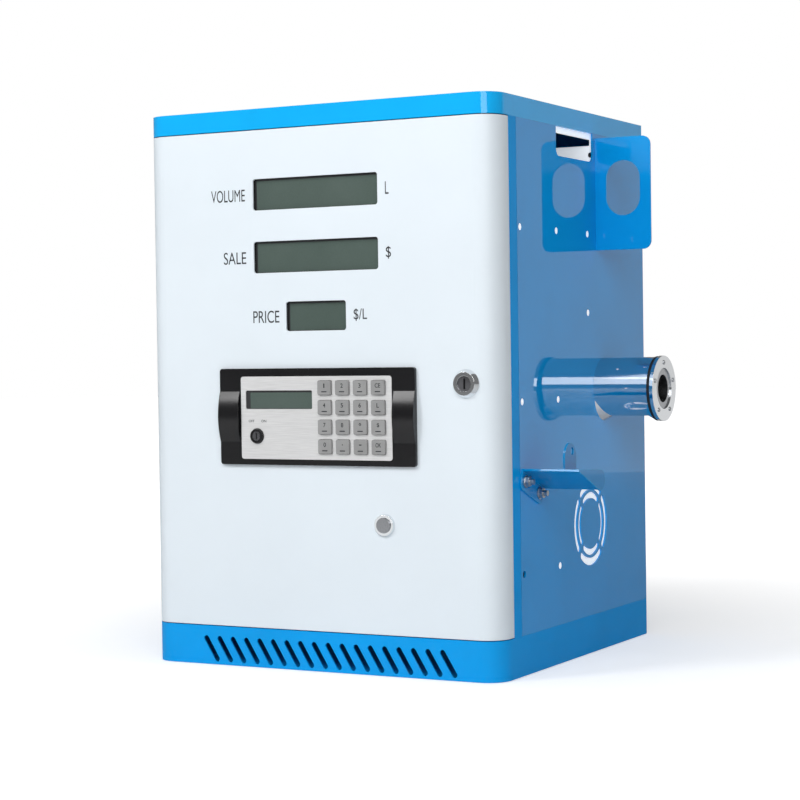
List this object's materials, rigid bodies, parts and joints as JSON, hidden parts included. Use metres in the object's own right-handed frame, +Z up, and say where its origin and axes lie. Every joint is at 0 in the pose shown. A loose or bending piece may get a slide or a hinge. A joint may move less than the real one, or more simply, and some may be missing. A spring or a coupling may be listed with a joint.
{
  "type": "fuel dispenser",
  "caption": "Compact box-shaped fuel dispenser: hinged display door with keypad, side plate that holds the nozzle, hose outlet, and a pump set inside.",
  "frame": {"origin": "centre of the base tray's footprint, on the floor", "axes": "+Z up, -Y the front with the displays, +X the side with the nozzle plate and hose outlet"},
  "size_m": [0.4983, 0.433, 0.6],
  "materials": {
    "cap_blue": "glossy powder coat",
    "side_blue": "glossy enamel",
    "holster_blue": "glossy enamel",
    "door_white": "semi-gloss powder coat",
    "bracket_white": "powder coat",
    "chrome": "polished",
    "swivel_steel": "turned",
    "zinc_steel": "zinc plated",
    "bezel_black": "moulded",
    "faceplate_steel": "horizontal brushing",
    "display_glass": "dark liquid crystal glass",
    "key_grey": "satin",
    "black_plastic": "moulded",
    "seal_rubber": "matte",
    "white_nylon": "moulded",
    "filter_mat": "non-woven mat",
    "circuit_board": "solder mask",
    "motor_grey": "paint",
    "cast_aluminium": "as cast",
    "pipe_steel": "zinc plated",
    "shaft_steel": "ground",
    "control_plastic": "moulded"
  },
  "bodies": {
    "cabinet": {"base_tray": "cap_blue", "top_cap": "cap_blue", "right_side_panel": "side_blue", "left_side_panel": "side_blue", "rear_panel": "side_blue", "front_frame": "cap_blue", "hinge_pins": "zinc_steel", "nozzle_plate": "holster_blue", "pocket_bracket": "bracket_white", "nozzle_switch": "black_plastic", "nozzle_rest": "side_blue", "rest_bolts": "zinc_steel", "outlet_sleeve": "chrome", "outlet_seal": "seal_rubber", "outlet_flange": "chrome", "outlet_screws": "zinc_steel", "vent_filters": "filter_mat", "hole_plugs": "white_nylon", "pump_motor": "motor_grey", "pump_head": "cast_aluminium", "flow_meter": "cast_aluminium", "inlet_pipe": "pipe_steel", "delivery_pipe": "pipe_steel", "control_box": "control_plastic", "cable_gland": "black_plastic"},
    "door": {"door_panel": "door_white", "volume_display": "display_glass", "sale_display": "display_glass", "price_display": "display_glass", "display_board": "circuit_board", "keypad_bezel": "bezel_black", "keypad_faceplate": "faceplate_steel", "keypad_display": "display_glass", "keypad_housing": "black_plastic", "key_switch_ring": "bezel_black", "door_lock_ring": "chrome", "push_button_ring": "chrome"},
    "key_1_1": {"key_1_1": "key_grey"},
    "key_1_2": {"key_1_2": "key_grey"},
    "key_1_3": {"key_1_3": "key_grey"},
    "key_1_4": {"key_1_4": "key_grey"},
    "key_2_1": {"key_2_1": "key_grey"},
    "key_2_2": {"key_2_2": "key_grey"},
    "key_2_3": {"key_2_3": "key_grey"},
    "key_2_4": {"key_2_4": "key_grey"},
    "key_3_1": {"key_3_1": "key_grey"},
    "key_3_2": {"key_3_2": "key_grey"},
    "key_3_3": {"key_3_3": "key_grey"},
    "key_3_4": {"key_3_4": "key_grey"},
    "key_4_1": {"key_4_1": "key_grey"},
    "key_4_2": {"key_4_2": "key_grey"},
    "key_4_3": {"key_4_3": "key_grey"},
    "key_4_4": {"key_4_4": "key_grey"},
    "key_switch": {"key_switch_core": "zinc_steel"},
    "door_lock": {"door_lock_core": "zinc_steel", "door_lock_cam": "zinc_steel"},
    "start_button": {"push_button": "swivel_steel"},
    "switch_lever": {"nozzle_switch_lever": "zinc_steel"},
    "hose_swivel": {"outlet_swivel": "swivel_steel"},
    "pump_rotor": {"drive_shaft": "shaft_steel"}
  },
  "joints": [
    {"name": "door_hinge", "type": "hinge", "parent": "cabinet", "child": "door", "pos_m": [-0.201, -0.19, 0.3], "axis": [0, 0, -1], "range_deg": [0, 105]},
    {"name": "key_1_1_press", "type": "slide", "parent": "door", "child": "key_1_1", "axis": [0, 1, 0], "range_m": [0, 0.0015], "stiffness_N_per_m": 600},
    {"name": "key_1_2_press", "type": "slide", "parent": "door", "child": "key_1_2", "axis": [0, 1, 0], "range_m": [0, 0.0015], "stiffness_N_per_m": 600},
    {"name": "key_1_3_press", "type": "slide", "parent": "door", "child": "key_1_3", "axis": [0, 1, 0], "range_m": [0, 0.0015], "stiffness_N_per_m": 600},
    {"name": "key_1_4_press", "type": "slide", "parent": "door", "child": "key_1_4", "axis": [0, 1, 0], "range_m": [0, 0.0015], "stiffness_N_per_m": 600},
    {"name": "key_2_1_press", "type": "slide", "parent": "door", "child": "key_2_1", "axis": [0, 1, 0], "range_m": [0, 0.0015], "stiffness_N_per_m": 600},
    {"name": "key_2_2_press", "type": "slide", "parent": "door", "child": "key_2_2", "axis": [0, 1, 0], "range_m": [0, 0.0015], "stiffness_N_per_m": 600},
    {"name": "key_2_3_press", "type": "slide", "parent": "door", "child": "key_2_3", "axis": [0, 1, 0], "range_m": [0, 0.0015], "stiffness_N_per_m": 600},
    {"name": "key_2_4_press", "type": "slide", "parent": "door", "child": "key_2_4", "axis": [0, 1, 0], "range_m": [0, 0.0015], "stiffness_N_per_m": 600},
    {"name": "key_3_1_press", "type": "slide", "parent": "door", "child": "key_3_1", "axis": [0, 1, 0], "range_m": [0, 0.0015], "stiffness_N_per_m": 600},
    {"name": "key_3_2_press", "type": "slide", "parent": "door", "child": "key_3_2", "axis": [0, 1, 0], "range_m": [0, 0.0015], "stiffness_N_per_m": 600},
    {"name": "key_3_3_press", "type": "slide", "parent": "door", "child": "key_3_3", "axis": [0, 1, 0], "range_m": [0, 0.0015], "stiffness_N_per_m": 600},
    {"name": "key_3_4_press", "type": "slide", "parent": "door", "child": "key_3_4", "axis": [0, 1, 0], "range_m": [0, 0.0015], "stiffness_N_per_m": 600},
    {"name": "key_4_1_press", "type": "slide", "parent": "door", "child": "key_4_1", "axis": [0, 1, 0], "range_m": [0, 0.0015], "stiffness_N_per_m": 600},
    {"name": "key_4_2_press", "type": "slide", "parent": "door", "child": "key_4_2", "axis": [0, 1, 0], "range_m": [0, 0.0015], "stiffness_N_per_m": 600},
    {"name": "key_4_3_press", "type": "slide", "parent": "door", "child": "key_4_3", "axis": [0, 1, 0], "range_m": [0, 0.0015], "stiffness_N_per_m": 600},
    {"name": "key_4_4_press", "type": "slide", "parent": "door", "child": "key_4_4", "axis": [0, 1, 0], "range_m": [0, 0.0015], "stiffness_N_per_m": 600},
    {"name": "key_switch_turn", "type": "hinge", "parent": "door", "child": "key_switch", "pos_m": [-0.0702, -0.202, 0.2498], "axis": [0, 1, 0], "range_deg": [0, 90]},
    {"name": "door_lock_turn", "type": "hinge", "parent": "door", "child": "door_lock", "pos_m": [0.1775, -0.202, 0.3045], "axis": [0, -1, 0], "range_deg": [0, 90]},
    {"name": "start_button_press", "type": "slide", "parent": "door", "child": "start_button", "axis": [0, 1, 0], "range_m": [0, 0.0025], "stiffness_N_per_m": 800},
    {"name": "switch_lever_press", "type": "hinge", "parent": "cabinet", "child": "switch_lever", "pos_m": [0.168, 0.075, 0.553], "axis": [0, 0, -1], "range_deg": [0, 6], "stiffness_Nm_per_rad": 0.05},
    {"name": "hose_swivel_turn", "type": "hinge", "parent": "cabinet", "child": "hose_swivel", "pos_m": [0.2695, 0.08, 0.293], "axis": [1, 0, 0], "continuous": true},
    {"name": "pump_rotor_spin", "type": "hinge", "parent": "cabinet", "child": "pump_rotor", "pos_m": [-0.018, 0.08, 0.08], "axis": [1, 0, 0], "continuous": true}
  ]
}
